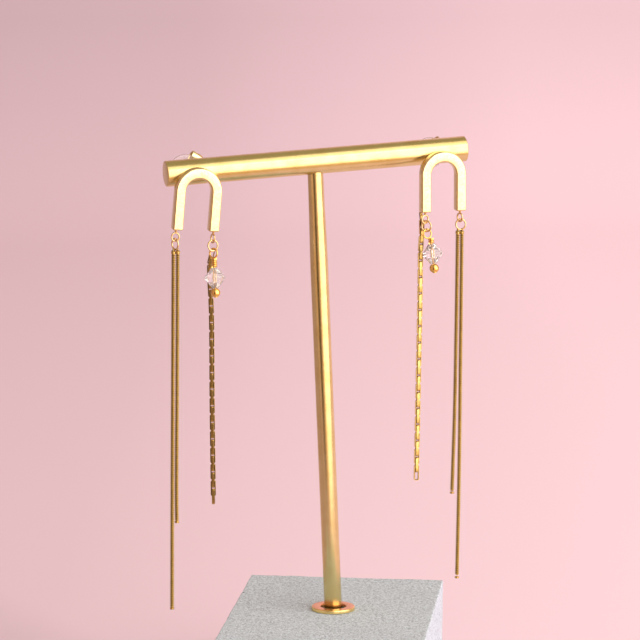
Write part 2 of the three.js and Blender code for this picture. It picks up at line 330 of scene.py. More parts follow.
@dataclass(frozen=True)
class PalePaper:
    """The pale pink paper that the stand is on, with painted shade that darkens it to the left, up its sweep
    and to the near left, and a painted glow.
    """

    colour: Colour = (0.74, 0.555, 0.615)
    slant: float = -0.27
    painted_glow: float = 0.36
    lift: float = 1.16

    def material(self) -> Finish:
        """Build the material."""
        g = Graph("pale_paper")
        tooth = g.noise(g.place(), 1800, 2)
        across, back, up = (g.axis(g.place(), name) for name in "XYZ")
        # Painted shade: the paper darkens to the left, away from the window light.
        side = (across + self.slant * back) * 2 + 0.5
        side = g.ramp(side, (0.0, 0.665), (0.3, 0.70), (0.42, 0.76), (0.8, 0.89))
        # Painted shade: the paper darkens up its sweep.
        height = g.ramp(up * 4, (0.0, 1.0), (0.28, 0.86), (0.50, 0.77))
        # Painted shadow: the paper darkens to the near left, as the block's soft shadow.
        corner = g.ramp((across + 0.3 * back) * 4 + 0.5, (0.05, 0.70), (0.42, 1.0))
        colour: Value = tuple(self.lift * part for part in self.colour)
        # Each painted shade multiplies the paper's colour.
        for painted_shade in (side, height, corner):
            colour = g.mix(1.0, painted_shade, colour, "MULTIPLY")
        # Painted light: the paper glows with its own colour although it is no lamp.
        return g.finish(Base_Color=colour, Roughness=0.9, Specular_IOR_Level=0.1, Normal=g.bump(tooth, 3e-5),
                        Emission_Color=colour, Emission_Strength=self.painted_glow)


# ---- modelling by operators


class Pick(Enum):
    """What a selection is made of."""

    VERT = "VERT"
    EDGE = "EDGE"


def select_only(*objects: Piece) -> None:
    """Select these objects alone, the first one active."""
    bpy.ops.object.select_all(action="DESELECT")
    for obj in objects:
        obj.select_set(True)
    bpy.context.view_layer.objects.active = objects[0]


@contextmanager
def editing(obj: Piece) -> Iterator[None]:
    """Edit mode on one object, all of it selected at the start."""
    select_only(obj)
    bpy.ops.object.mode_set(mode="EDIT")
    bpy.ops.mesh.select_mode(type="VERT")
    bpy.ops.mesh.select_all(action="SELECT")
    try:
        yield
    finally:
        bpy.ops.object.mode_set(mode="OBJECT")


def pick(obj: Piece, what: Pick, test: Callable[[Vector], bool]) -> None:
    """Select in edit mode whatever has all of its corners where the test says.

    Args:
        obj: the object in edit mode.
        what: vertices or edges.
        test: true for a corner that counts.
    """
    bpy.ops.mesh.select_mode(type=what.value)
    bpy.ops.mesh.select_all(action="DESELECT")
    mesh = bmesh.from_edit_mesh(obj.data)
    for item in mesh.verts if what is Pick.VERT else mesh.edges:
        corners = (item,) if what is Pick.VERT else item.verts
        item.select_set(all(test(corner.co) for corner in corners))
    bmesh.update_edit_mesh(obj.data)


def apply_modifier(obj: Piece, kind: str, **settings: object) -> None:
    """Add a modifier, set it up and apply it."""
    select_only(obj)
    modifier = obj.modifiers.new(kind.lower(), kind)
    for key, value in settings.items():
        setattr(modifier, key, value)
    bpy.ops.object.modifier_apply(modifier=modifier.name)


def take(name: str) -> Piece:
    """Name the object that an operator has just added."""
    obj = bpy.context.object
    obj.name = name
    obj.data.name = name
    return obj


def added(name: str, add: Callable[..., object], **settings: object) -> Piece:
    """Add a primitive, alone selected, and name it."""
    bpy.ops.object.select_all(action="DESELECT")
    add(**settings)
    return take(name)


def extrude(step: Vector | Point) -> None:
    """In edit mode, extrude what is selected by one step."""
    bpy.ops.mesh.extrude_region_move(TRANSFORM_OT_translate={"value": step})


def close_up(fill: bool = False) -> None:
    """In edit mode, merge doubled corners, fill open ends if asked and turn every face outwards."""
    bpy.ops.mesh.select_all(action="SELECT")
    bpy.ops.mesh.remove_doubles(threshold=MERGE)
    if fill:
        bpy.ops.mesh.fill_holes(sides=0)
        bpy.ops.mesh.select_all(action="SELECT")
    bpy.ops.mesh.normals_make_consistent(inside=False)


def wire_line(name: str, points: Sequence[Point]) -> Piece:
    """A line of edges, extruded point by point from one vertex.

    Args:
        name: the object's name.
        points: corners in order.

    Returns:
        The object.
    """
    obj = added(name, bpy.ops.mesh.primitive_plane_add, size=1)
    with editing(obj):
        bpy.ops.mesh.merge(type="CENTER")
        bpy.ops.transform.translate(value=points[0])
        for before, after in zip(points, points[1:]):
            extrude(Vector(after) - Vector(before))
    return obj


def turned(name: str, profile: Sequence[tuple[float, float]], steps: int) -> Piece:
    """A form spun about +Z.

    Args:
        name: the object's name.
        profile: (radius, height) pairs that start and end on the axis, or close on themselves.
        steps: sides round the axis.

    Returns:
        The object.
    """
    obj = wire_line(name, [(radius, 0, height) for radius, height in profile])
    with editing(obj):
        bpy.ops.mesh.spin(steps=steps, angle=FULL_TURN, center=(0, 0, 0), axis=(0, 0, 1))
        close_up()
    return obj


def arc(first: float, last: float, parts: int) -> list[float]:
    """Evenly spaced angles, in radians."""
    return [first + (last - first) * i / parts for i in range(parts + 1)]


def rounded(radius: float, low: float, high: float, edge: float, parts: int = 4) -> list[tuple[float, float]]:
    """The profile of a rod with rounded rims, from its bottom middle to its top middle."""
    turns = arc(0, math.pi / 2, parts)
    foot = [(radius - edge + edge * math.sin(a), low + edge - edge * math.cos(a)) for a in turns]
    head = [(radius - edge + edge * math.cos(a), high - edge + edge * math.sin(a)) for a in turns]
    return [(0, low), *foot, *head, (0, high)]


def wire_ring(name: str, width: float, tall: float, wire: float, turn_deg: float,
              slit_deg: float = 0.0) -> Piece:
    """An upright ring of round wire, spun from a small circle.

    Args:
        name: the object's name.
        width: outside width in its own plane.
        tall: how much taller than wide it is.
        wire: the wire's radius.
        turn_deg: turn about Z.
        slit_deg: opening where its two cut ends meet, at the side; 0 for a soldered ring.

    Returns:
        The object.
    """
    obj = added(name, bpy.ops.mesh.primitive_circle_add, vertices=12, radius=wire)
    move(obj, shift(width / 2 - wire))
    angle = FULL_TURN - math.radians(slit_deg)
    with editing(obj):
        bpy.ops.mesh.spin(steps=40, angle=angle, center=(0, 0, 0), axis=(0, 1, 0))
        close_up(fill=slit_deg > 0)
        bpy.ops.transform.resize(value=(1, 1, tall))
    return move(shade(obj, 50), turn("Z", turn_deg))


def move(obj: Piece, matrix: Matrix) -> Piece:
    """Move a piece's mesh, leaving the object itself at the origin."""
    obj.matrix_world = matrix @ obj.matrix_world
    select_only(obj)
    bpy.ops.object.transform_apply(location=True, rotation=True, scale=True)
    return obj


def shade(obj: Piece, angle_deg: float = 35) -> Piece:
    """Shade smooth, with edges sharper than the angle left crisp."""
    select_only(obj)
    bpy.ops.object.shade_smooth_by_angle(angle=math.radians(angle_deg))
    return obj


def join(name: str, *parts: Piece) -> Piece:
    """Make several meshes one piece."""
    select_only(*parts)
    bpy.ops.object.join()
    return take(name)


def cut(obj: Piece, *cutters: Piece) -> Piece:
    """Cut solids out of a piece and discard them."""
    for cutter in cutters:
        apply_modifier(obj, "BOOLEAN", operation="DIFFERENCE", solver="EXACT", object=cutter)
        bpy.data.objects.remove(cutter)
    return obj


def drill(radius: float, length: float, matrix: Matrix, sides: int = 24) -> Piece:
    """A round cutter about the matrix's Z axis."""
    tool = added("drill", bpy.ops.mesh.primitive_cylinder_add, vertices=sides, radius=radius, depth=length)
    return move(tool, matrix)


def along(unit: Piece, route: Sequence[Vector], pitch: float, count: int) -> Piece:
    """Repeat a unit down a route.

    Args:
        unit: modelled about the origin, its length along +Z.
        route: the points that the strand goes through, from its top.
        pitch: distance between units.
        count: how many there are.

    Returns:
        The strand, one mesh.
    """
    guide = bpy.data.curves.new("guide", "CURVE")
    guide.dimensions = "3D"
    guide.twist_mode = "MINIMUM"
    guide.resolution_u = 24
    line = guide.splines.new("BEZIER")
    line.bezier_points.add(len(route) - 1)
    for knot, point in zip(line.bezier_points, route):
        knot.co = point
        knot.handle_left_type = knot.handle_right_type = "AUTO"
    holder = bpy.data.objects.new("guide", guide)
    bpy.context.scene.collection.objects.link(holder)
    apply_modifier(unit, "ARRAY", count=count, use_relative_offset=False, use_constant_offset=True,
                   constant_offset_displace=(0, 0, pitch))
    apply_modifier(unit, "CURVE", object=holder, deform_axis="POS_Z")
    bpy.data.objects.remove(holder)
    return unit


def mark(obj: Piece, test: Callable[[Vector], bool]) -> None:
    """Mark in the groove attribute the corners that take a plate's second colour."""
    marks = obj.data.attributes.new("groove", "FLOAT", "POINT")
    for vert, depth in zip(obj.data.vertices, marks.data):
        depth.value = float(test(vert.co))


def hand_over(obj: Piece, finish: Finish, slot: str, *nodes: str) -> None:
    """Bring a piece modelled in millimetres into the frame.

    Args:
        obj: the piece.
        finish: its material.
        slot: not used.
        *nodes: the CAD nodes that it stands for.
    """
    move(obj, Matrix.Scale(MM, 4))
    obj.data.materials.clear()
    obj.data.materials.append(finish)
    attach(obj, "root")
    if nodes:
        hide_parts(*nodes)
    LOG.info("%s: %d faces", obj.name, len(obj.data.polygons))


def turn(axis: str, degrees: float) -> Matrix:
    """A turn about X, Y or Z."""
    return Matrix.Rotation(math.radians(degrees), 4, axis)


def shift(x: float = 0, y: float = 0, z: float = 0) -> Matrix:
    """A move, in millimetres."""
    return Matrix.Translation((x, y, z))


# ---- the stand


@dataclass(frozen=True)
class Pit:
    """A pinhole or nick in the block, in the block's own frame."""

    x: float
    y: float
    z: float
    radius: float


@dataclass
class Block:
    """The cast foot: a soft-edged, slightly uneven block with a blind socket."""

    width: float = 60.6
    depth: float = 84.0
    height: float = 30.0
    edge: float = 2.0
    turn_deg: float = -21.2
    cells: int = 64
    socket_radius: float = 3.8
    socket_depth: float = 12.0
    pits: tuple[Pit, ...] = tuple(Pit(*pit) for pit in (
        (24.5, -21.0, 30.0, 0.55), (13.0, -32.5, 30.0, 0.4), (-19.0, -15.0, 30.0, 0.35),
        (-14.0, 24.0, 30.0, 0.3), (8.0, 31.0, 30.0, 0.4), (-26.0, -38.0, 30.0, 0.5),
        (30.3, -10.0, 17.0, 0.6), (30.3, 12.0, 9.0, 0.45), (-30.3, 6.0, 21.0, 0.6),
        (-30.3, -22.0, 11.0, 0.4), (6.0, -42.0, 13.0, 0.55), (-17.0, -42.0, 22.0, 0.4),
        (12.0, 42.0, 12.0, 0.5), (-30.0, 18.0, 29.6, 0.9),
    ))

    def build(self) -> None:
        """Model, cut and dress the block."""
        middle = (0, 0, self.height / 2)
        obj = added("cast_block", bpy.ops.mesh.primitive_cube_add, size=1, location=middle)
        with editing(obj):
            bpy.ops.transform.resize(value=(self.width, self.depth, self.height))
            bpy.ops.mesh.subdivide(number_cuts=self.cells)
        move(obj, Matrix.Identity(4))
        apply_modifier(obj, "BEVEL", width=self.edge, segments=5, limit_method="ANGLE")
        self._roughen(obj)
        socket = drill(self.socket_radius, 2 * self.socket_depth, shift(z=self.height), 64)
        cut(obj, join("hollows", socket, *(self._pit(pit) for pit in self.pits)))
        shade(obj, 50)
        move(obj, turn("Z", self.turn_deg))
        hand_over(obj, CastStone().material(), "cast_block", "base_block")

    def _roughen(self, obj: Piece) -> None:
        """Take the sides a little in and out, as a cast face is."""
        for name, size, strength in (("swell", 9.0, 0.35), ("tooth", 2.2, 0.16)):
            clouds = bpy.data.textures.new(name, "CLOUDS")
            clouds.noise_scale = size
            clouds.noise_depth = 3
            apply_modifier(obj, "DISPLACE", texture=clouds, strength=strength, mid_level=0.72)

    def _pit(self, pit: Pit) -> Piece:
        """A small rough ball that is cut out for a pinhole."""
        ball = added("pit", bpy.ops.mesh.primitive_ico_sphere_add, subdivisions=2, radius=pit.radius)
        with editing(ball):
            bpy.ops.transform.resize(value=(1.0, 0.8, 1.2))
        return move(ball, shift(pit.x, pit.y, pit.z))


@dataclass
class SocketRing:
    """The flat ring round the socket's mouth, its rim rounded over."""

    inner: float = 3.8
    outer: float = 6.5
    thickness: float = 1.0
    edge: float = 0.32
    gap: float = 0.05
    base: float = 30.0

    def build(self) -> None:
        """Model and dress the ring."""
        edge = self.edge
        turns = arc(0, math.pi / 2, 4)
        low = self.thickness - edge
        rim = [(self.outer - edge + edge * math.cos(a), low + edge * math.sin(a)) for a in turns]
        lip = [(self.inner + edge * (1 - math.sin(a)), low + edge * math.cos(a)) for a in turns]
        obj = turned("socket_ring", [(self.inner, 0), (self.outer, 0), *rim, *lip, (self.inner, 0)], 96)
        mark(obj, lambda p: p.xy.length > self.outer - 0.8 * edge)
        shade(obj, 40)
        move(obj, shift(z=self.base + self.gap))
        finish = PolishedPlate("coppery_plate", (0.90, 0.52, 0.24), (0.80, 0.40, 0.16), 0.2, 2.4e-5,
                               groove=(0.95, 0.72, 0.28))
        hand_over(obj, finish.material(), "copper_flange", "base_flange")


@dataclass
class TBar:
    """Post and hanging bar. The post stands loose in its socket, so both lean together."""

    base: float = 30.0
    lean_left_deg: float = 3.4
    lean_forward_deg: float = 3.1
    post_radius: float = 2.62
    neck_radius: float = 2.3
    neck_length: float = 10.0
    taper: float = 20.0
    into_socket: float = 9.5
    bar_radius: float = 3.75
    bar_length: float = 90.4
    bar_shift: float = 0.6
    bar_height: float = 136.3
    bore: float = 0.85

    @property
    def frame(self) -> Matrix:
        """Where the post's own frame is: its foot on the block's top, leaning."""
        return shift(z=self.base) @ turn("Y", -self.lean_left_deg) @ turn("X", self.lean_forward_deg)

    def build(self, studs: Sequence[tuple[float, float]]) -> None:
        """Model and dress both rods.

        Args:
            studs: where each stud crosses the bar, along it and above its axis.
        """
        foot = rounded(self.post_radius, -self.into_socket, self.bar_height, 0.3)[:6]
        neck = self.bar_height - self.neck_length
        top = [(self.post_radius, neck - self.taper - 4), (self.post_radius - 0.03, neck - self.taper + 2),
               (self.neck_radius + 0.03, neck - 2), (self.neck_radius, neck + 2)]
        post = turned("post", [*foot, *top, (self.neck_radius, self.bar_height), (0, self.bar_height)], 72)
        saddle = drill(self.bar_radius + 0.02, 20, shift(z=self.bar_height) @ turn("Y", 90), 128)
        cut(post, saddle)
        move(shade(post), self.frame)
        hand_over(post, SatinBrass(Brushing.ALONG_POST).material(), "satin_brass", "post")

        half = self.bar_length / 2
        bar = turned("hanging_bar", rounded(self.bar_radius, -half, half, 0.35), 120)
        move(bar, shift(self.bar_shift, 0, self.bar_height) @ turn("Y", 90))
        for x, above in studs:
            cut(bar, drill(self.bore, 20, shift(x, 0, self.bar_height + above) @ turn("X", 90)))
        move(shade(bar), self.frame)
        hand_over(bar, SatinBrass(Brushing.ALONG_BAR).material(), "satin_brass", "hang_bar")


# ---- the earrings


@dataclass(frozen=True)
class Ring:
    """Sizes of a wire ring that hangs in another."""

    width: float
    tall: float
    wire: float

    @property
    def half_height(self) -> float:
        """From its middle to the outside of its wire."""
        return self.width / 2 * self.tall


EYE = Ring(2.7, 1.1, 0.25)
EYE_NECK = 0.65
JUMP_RING = Ring(3.35, 1.1, 0.26)
PIN_LOOP = Ring(3.2, 1.0, 0.25)
HANG_GAP = 0.15


def hang_distance(upper: Ring, lower: Ring) -> float:
    """How far apart the middles of two linked rings are."""
    wires = (upper.wire * upper.tall + lower.wire * lower.tall) * 2 + HANG_GAP
    return upper.half_height + lower.half_height - wires


class Side(Enum):
    """Which end of the bar an earring hangs on; the value is its outer leg's side."""

    LEFT = -1
    RIGHT = 1


@dataclass(frozen=True)
class Way:
    """A point of a strand, below and beside the end of the leg that it hangs from."""

    down: float
    across: float
    back: float = 0.0


@dataclass(frozen=True)
class Gilding:
    """The finishes that both earrings share."""

    polished: Finish
    ring: Finish
    warm: Finish
    chain: Finish
    crystal: Finish
    pad: Finish


@dataclass
class Arch:
    """A U of squared bar with its stud, and an eye soldered under each leg."""

    height: float
    width: float = 13.7
    section: float = 3.04
    edge: float = 0.45
    toe: float = 0.4
    crown: float = 0.05
    stud_radius: float = 0.45
    stud_length: float = 11.2

    @property
    def leg_x(self) -> float:
        """Half the distance between the middles of the legs."""
        return (self.width - self.section) / 2

    @property
    def leg_end(self) -> float:
        """Height of the legs' ends, the middle of the top being at 0."""
        return self.section / 2 - self.height

    def bow(self, name: str) -> Piece:
        """Sweep the squared section up one leg, round the bend and down the other."""
        bend = self.section / 2 - self.width / 2
        straight = bend - self.leg_end
        obj = added(name, bpy.ops.mesh.primitive_plane_add, size=self.section)
        with editing(obj):
            bpy.ops.mesh.bevel(offset=self.edge, segments=5, affect="VERTICES")
            bpy.ops.mesh.delete(type="ONLY_FACE")
            pick(obj, Pick.EDGE, lambda p: max(abs(p.x), abs(p.y)) > self.section / 2 - MERGE)
            bpy.ops.mesh.subdivide(number_cuts=5)
        self._crown(obj)
        with editing(obj):
            bpy.ops.transform.translate(value=(-self.leg_x, 0, self.leg_end))
            extrude((0, 0, straight))
            bpy.ops.mesh.spin(steps=40, angle=math.pi, center=(0, 0, bend), axis=(0, -1, 0))
            extrude((0, 0, -straight))
            close_up(fill=True)
            pick(obj, Pick.EDGE, lambda p: p.z < self.leg_end + MERGE)
            bpy.ops.mesh.bevel(offset=self.toe, segments=4, affect="EDGES", clamp_overlap=True)
        shade(obj, 40)
        apply_modifier(obj, "WEIGHTED_NORMAL", keep_sharp=True)
        return obj

    def _crown(self, obj: Piece) -> None:
        """Swell each flat side of the section very slightly, as drawn bar is."""
        half = self.section / 2
        with editing(obj):
            for vert in bmesh.from_edit_mesh(obj.data).verts:
                along_side, across = sorted((abs(vert.co.x), abs(vert.co.y)))
                if across > half - MERGE:
                    outward = 0 if abs(vert.co.x) >= abs(vert.co.y) else 1
                    vert.co[outward] *= 1 + self.crown / half * (1 - (along_side / half) ** 2)
            bmesh.update_edit_mesh(obj.data)

    def eye(self, name: str, side: int, offset: float, turn_deg: float) -> Piece:
        """The eye under one leg, on a short tapered neck."""
        taper = [(0, -1.0), (0.30, -0.95), (0.34, -0.45), (0.52, 0), (0.50, 0.3), (0, 0.3)]
        neck = turned(f"{name}_neck", taper, 20)
        loop = wire_ring(f"{name}_loop", EYE.width, EYE.tall, EYE.wire, turn_deg)
        move(loop, shift(z=-EYE_NECK - EYE.half_height))
        return move(join(name, shade(neck), loop), shift(side * self.leg_x + offset, 0, self.leg_end))

    def stud(self, name: str) -> Piece:
        """The post that goes through the ear, with the groove that the clutch clicks into."""
        r, length = self.stud_radius, self.stud_length
        groove = [(r, length - 2.1), (r * 0.78, length - 1.9), (r * 0.78, length - 1.5), (r, length - 1.3)]
        tip = [(r, length - 0.5), (r * 0.7, length - 0.12), (0, length)]
        obj = turned(name, [(0, 0), (r, 0), *groove, *tip], 32)
        return move(shade(obj), turn("X", -90))


@dataclass
class StudBack:
    """The clear pad and the butterfly clutch that hold a stud behind the bar."""

    pad_radius: float = 4.6
    pad_thickness: float = 1.0
    reach: float = 3.0
    curl: float = 1.3
    strip: float = 0.45
    width: float = 3.3
    nip: float = 1.0
    bore: float = 0.6
    dimple: float = 0.2

    def pad(self, name: str, across: float, up: float) -> Piece:
        """The soft clear disc, which sits a little off the stud that goes through it."""
        r, t = self.pad_radius, self.pad_thickness
        disc = turned(name, rounded(r, 0, t, 0.3), 64)
        with editing(disc):
            pick(disc, Pick.VERT, lambda p: p.z > t - MERGE and p.xy.length < MERGE)
            bpy.ops.transform.translate(value=(0, 0, -self.dimple))
        move(disc, shift(across, 0, up) @ turn("X", -90))
        return shade(cut(disc, drill(self.bore, 4 * t, turn("X", 90))))

    def clutch(self, name: str) -> Piece:
        """One strip, both ends curled back to nip the stud."""
        turns = arc(-math.pi / 2, math.pi / 2, 12)
        curl = [(self.reach + self.curl * math.cos(a), self.curl + self.curl * math.sin(a), 0) for a in turns]
        half = [*curl, (self.nip + 0.7, 1.75 * self.curl, 0), (self.nip * 0.75, 1.35 * self.curl, 0)]
        line = [(-x, y, z) for x, y, z in reversed(half)] + half
        obj = wire_line(name, line)
        with editing(obj):
            bpy.ops.transform.translate(value=(0, 0, -self.width / 2))
            extrude((0, 0, self.width))
        apply_modifier(obj, "SOLIDIFY", thickness=self.strip, offset=0)
        apply_modifier(obj, "BEVEL", width=0.1, segments=2, limit_method="ANGLE")
        cut(obj, drill(self.bore, 4 * self.width, turn("X", 90)))
        with editing(obj):
            close_up()
        return move(shade(obj), shift(y=self.strip / 2))


@dataclass
class SnakeChain:
    """Round snake chain: close wavy ribs, with a smooth cap and an eye at its top."""

    radius: float = 0.65
    pitch: float = 0.66
    groove: float = 0.25
    rim: float = 0.15
    wave: float = 0.08
    sides: int = 12
    cap_length: float = 0.6

    def rib(self) -> Piece:
        """One rib, its rim waved so that ribs seem to lock into each other."""
        half, deep = self.pitch / 2, self.radius - self.groove
        rim, wide = half * self.rim, self.radius
        profile = [(0, -half), (deep, -half), (wide, -rim), (wide, rim), (deep, half), (0, half)]
        obj = turned("rib", profile, self.sides)
        # Painted shade: the bottoms of the grooves are marked to take the plate's dark groove colour.
        mark(obj, lambda p: p.xy.length < self.radius - self.groove / 2)
        for sign in (1, -1):
            with editing(obj):
                pick(obj, Pick.VERT, lambda p: p.xy.length > 0.1 and sign * (abs(p.x) - abs(p.y)) > 0)
                bpy.ops.transform.translate(value=(0, 0, sign * self.wave))
        return shade(obj, 30)

    def build(self, name: str, route: Sequence[Vector]) -> Piece:
        """Run the ribs down a route and close both ends."""
        length = sum((b - a).length for a, b in zip(route, route[1:]))
        ribs = along(self.rib(), route, self.pitch, int((length - 0.2) / self.pitch))
        caps = []
        for label, point, down in (("top", route[0], 1), ("end", route[-1], -1)):
            cap = turned(f"{name}_{label}", rounded(self.radius, 0, self.cap_length, 0.15), 20)
            slope = (route[1] - route[0]) if down > 0 else (route[-2] - route[-1])
            turn_to = slope.to_track_quat("Z", "Y").to_matrix().to_4x4()
            caps.append(move(shade(cap), Matrix.Translation(point) @ turn_to))
        eye = wire_ring(f"{name}_eye", 1.15, 1.15, 0.16, 90)
        move(eye, Matrix.Translation(route[0]) @ shift(z=0.42))
        return join(name, ribs, *caps, eye)


@dataclass
class BoxChain:
    """Long narrow links of flat strip, each turned a quarter to the next."""

    pitch: float = 2.45
    length: float = 4.6
    width: float = 1.5
    strip: float = 0.78
    thickness: float = 0.3
    turn_deg: float = 52.0
    corner: float = 0.42

    def link(self, name: str) -> Piece:
        """One link: a long loop of strip with rounded corners, which reaches into both its neighbours."""
        obj = added(name, bpy.ops.mesh.primitive_plane_add, size=1)
        with editing(obj):
            bpy.ops.transform.resize(value=(self.width, self.length, 1))
            bpy.ops.mesh.bevel(offset=self.corner, segments=3, affect="VERTICES")
            bpy.ops.mesh.delete(type="ONLY_FACE")
            bpy.ops.mesh.select_all(action="SELECT")
            bpy.ops.transform.translate(value=(0, 0, -self.strip / 2))
            extrude((0, 0, self.strip))
            close_up()
        apply_modifier(obj, "SOLIDIFY", thickness=self.thickness, offset=-1)
        apply_modifier(obj, "BEVEL", width=0.07, segments=1, limit_method="ANGLE")
        with editing(obj):
            close_up()
        wide, tall = (size / 2 - 0.6 * self.thickness for size in (self.width, self.length))
        # Painted shade: the inside faces of the loop are marked to take the plate's dark groove colour.
        mark(obj, lambda p: abs(p.x) < wide and abs(p.y) < tall)
        return move(shade(obj, 40), turn("X", 90))

    def build(self, name: str, route: Sequence[Vector]) -> Piece:
        """Run pairs of links down a route."""
        length = sum((b - a).length for a, b in zip(route, route[1:]))
        second = move(self.link("second"), shift(z=self.pitch) @ turn("Z", 90))
        pair = join("pair", self.link("first"), second)
        move(pair, shift(z=self.pitch / 2) @ turn("Z", self.turn_deg))
        return along(pair, route, 2 * self.pitch, int(length / (2 * self.pitch)))


@dataclass
class Drop:
    """Crystal and bead on a wrapped head pin, modelled about the pin's loop."""

    coils: int
    coil: float = 0.55
    wrap_radius: float = 0.9
    crystal_radius: float = 3.0
    crystal_height: float = 5.8
    table_radius: float = 0.95
    facets: int = 8
    girdle: float = 0.18
    facet_edge: float = 0.16
    crystal_bore: float = 0.42
    crystal_turn_deg: float = -15.0
    bead_radius: float = 1.38
    bead_height: float = 2.4
    gap: float = 0.15

    @property
    def neck_top(self) -> float:
        """Where the wrap starts, just under the loop."""
        return -PIN_LOOP.width / 2 + PIN_LOOP.wire

    @property
    def crystal_z(self) -> float:
        """Height of the crystal's middle."""
        return self.neck_top - self.coils * self.coil - self.gap - self.crystal_height / 2

    @property
    def bead_z(self) -> float:
        """Height of the bead's middle."""
        return self.crystal_z - self.crystal_height / 2 - self.gap - self.bead_height / 2

    def pin(self, name: str, turn_deg: float, shaft_shift: float) -> Piece:
        """Loop, wrapped neck, shaft and the small head under the bead."""
        loop = wire_ring(f"{name}_loop", PIN_LOOP.width, PIN_LOOP.tall, PIN_LOOP.wire, turn_deg)
        low = self.bead_z - self.bead_height / 2
        shaft = turned(f"{name}_shaft", [(0, low - 0.25), (0.55, low - 0.2), (0.6, low), (0.3, low + 0.05),
                                         (0.3, self.neck_top), (0, self.neck_top)], 20)
        parts = [shade(shaft), self._wrap(f"{name}_wrap")]
        return join(name, loop, *(move(part, shift(shaft_shift)) for part in parts))

    def _wrap(self, name: str) -> Piece:
        """Close turns of wire round the neck."""
        obj = added(name, bpy.ops.mesh.primitive_circle_add, vertices=10, radius=PIN_LOOP.wire)
        move(obj, shift(self.wrap_radius - PIN_LOOP.wire) @ turn("X", 90))
        turns = self.coils - 0.5
        steps = 20 * self.coils
        apply_modifier(obj, "SCREW", angle=turns * FULL_TURN, screw_offset=-turns * self.coil, steps=steps,
                       render_steps=steps, axis="Z", use_smooth_shade=True)
        with editing(obj):
            close_up(fill=True)
        return move(shade(obj, 50), shift(z=self.neck_top - PIN_LOOP.wire))

    def crystal(self, name: str) -> Piece:
        """Bicone with sharp facets and narrow cut edges between them."""
        half, table = self.crystal_height / 2, self.table_radius
        rim = [(self.crystal_radius, -self.girdle), (self.crystal_radius, self.girdle)]
        profile = [(0, -half), (table, -half), *rim, (table, half), (0, half)]
        obj = turned(name, profile, self.facets)
        with editing(obj):
            pick(obj, Pick.EDGE, lambda p: abs(p.z) <= self.girdle + MERGE)
            bpy.ops.mesh.bevel(offset=self.facet_edge, segments=1, affect="EDGES")
        cut(obj, drill(self.crystal_bore, 4 * half, Matrix.Identity(4), 16))
        return move(obj, shift(z=self.crystal_z) @ turn("Z", self.crystal_turn_deg))

    def bead(self, name: str) -> Piece:
        """Round bead with a small countersunk bore."""
        half, r = self.bead_height / 2, self.bead_radius
        start = math.acos(half / r)
        ball = [(r * math.sin(a), -r * math.cos(a)) for a in arc(start, math.pi - start, 16)]
        obj = turned(name, [(0.4, -half + 0.15), *ball, (0.4, half - 0.15), (0.4, -half + 0.15)], 40)
        return move(shade(obj), shift(z=self.bead_z))


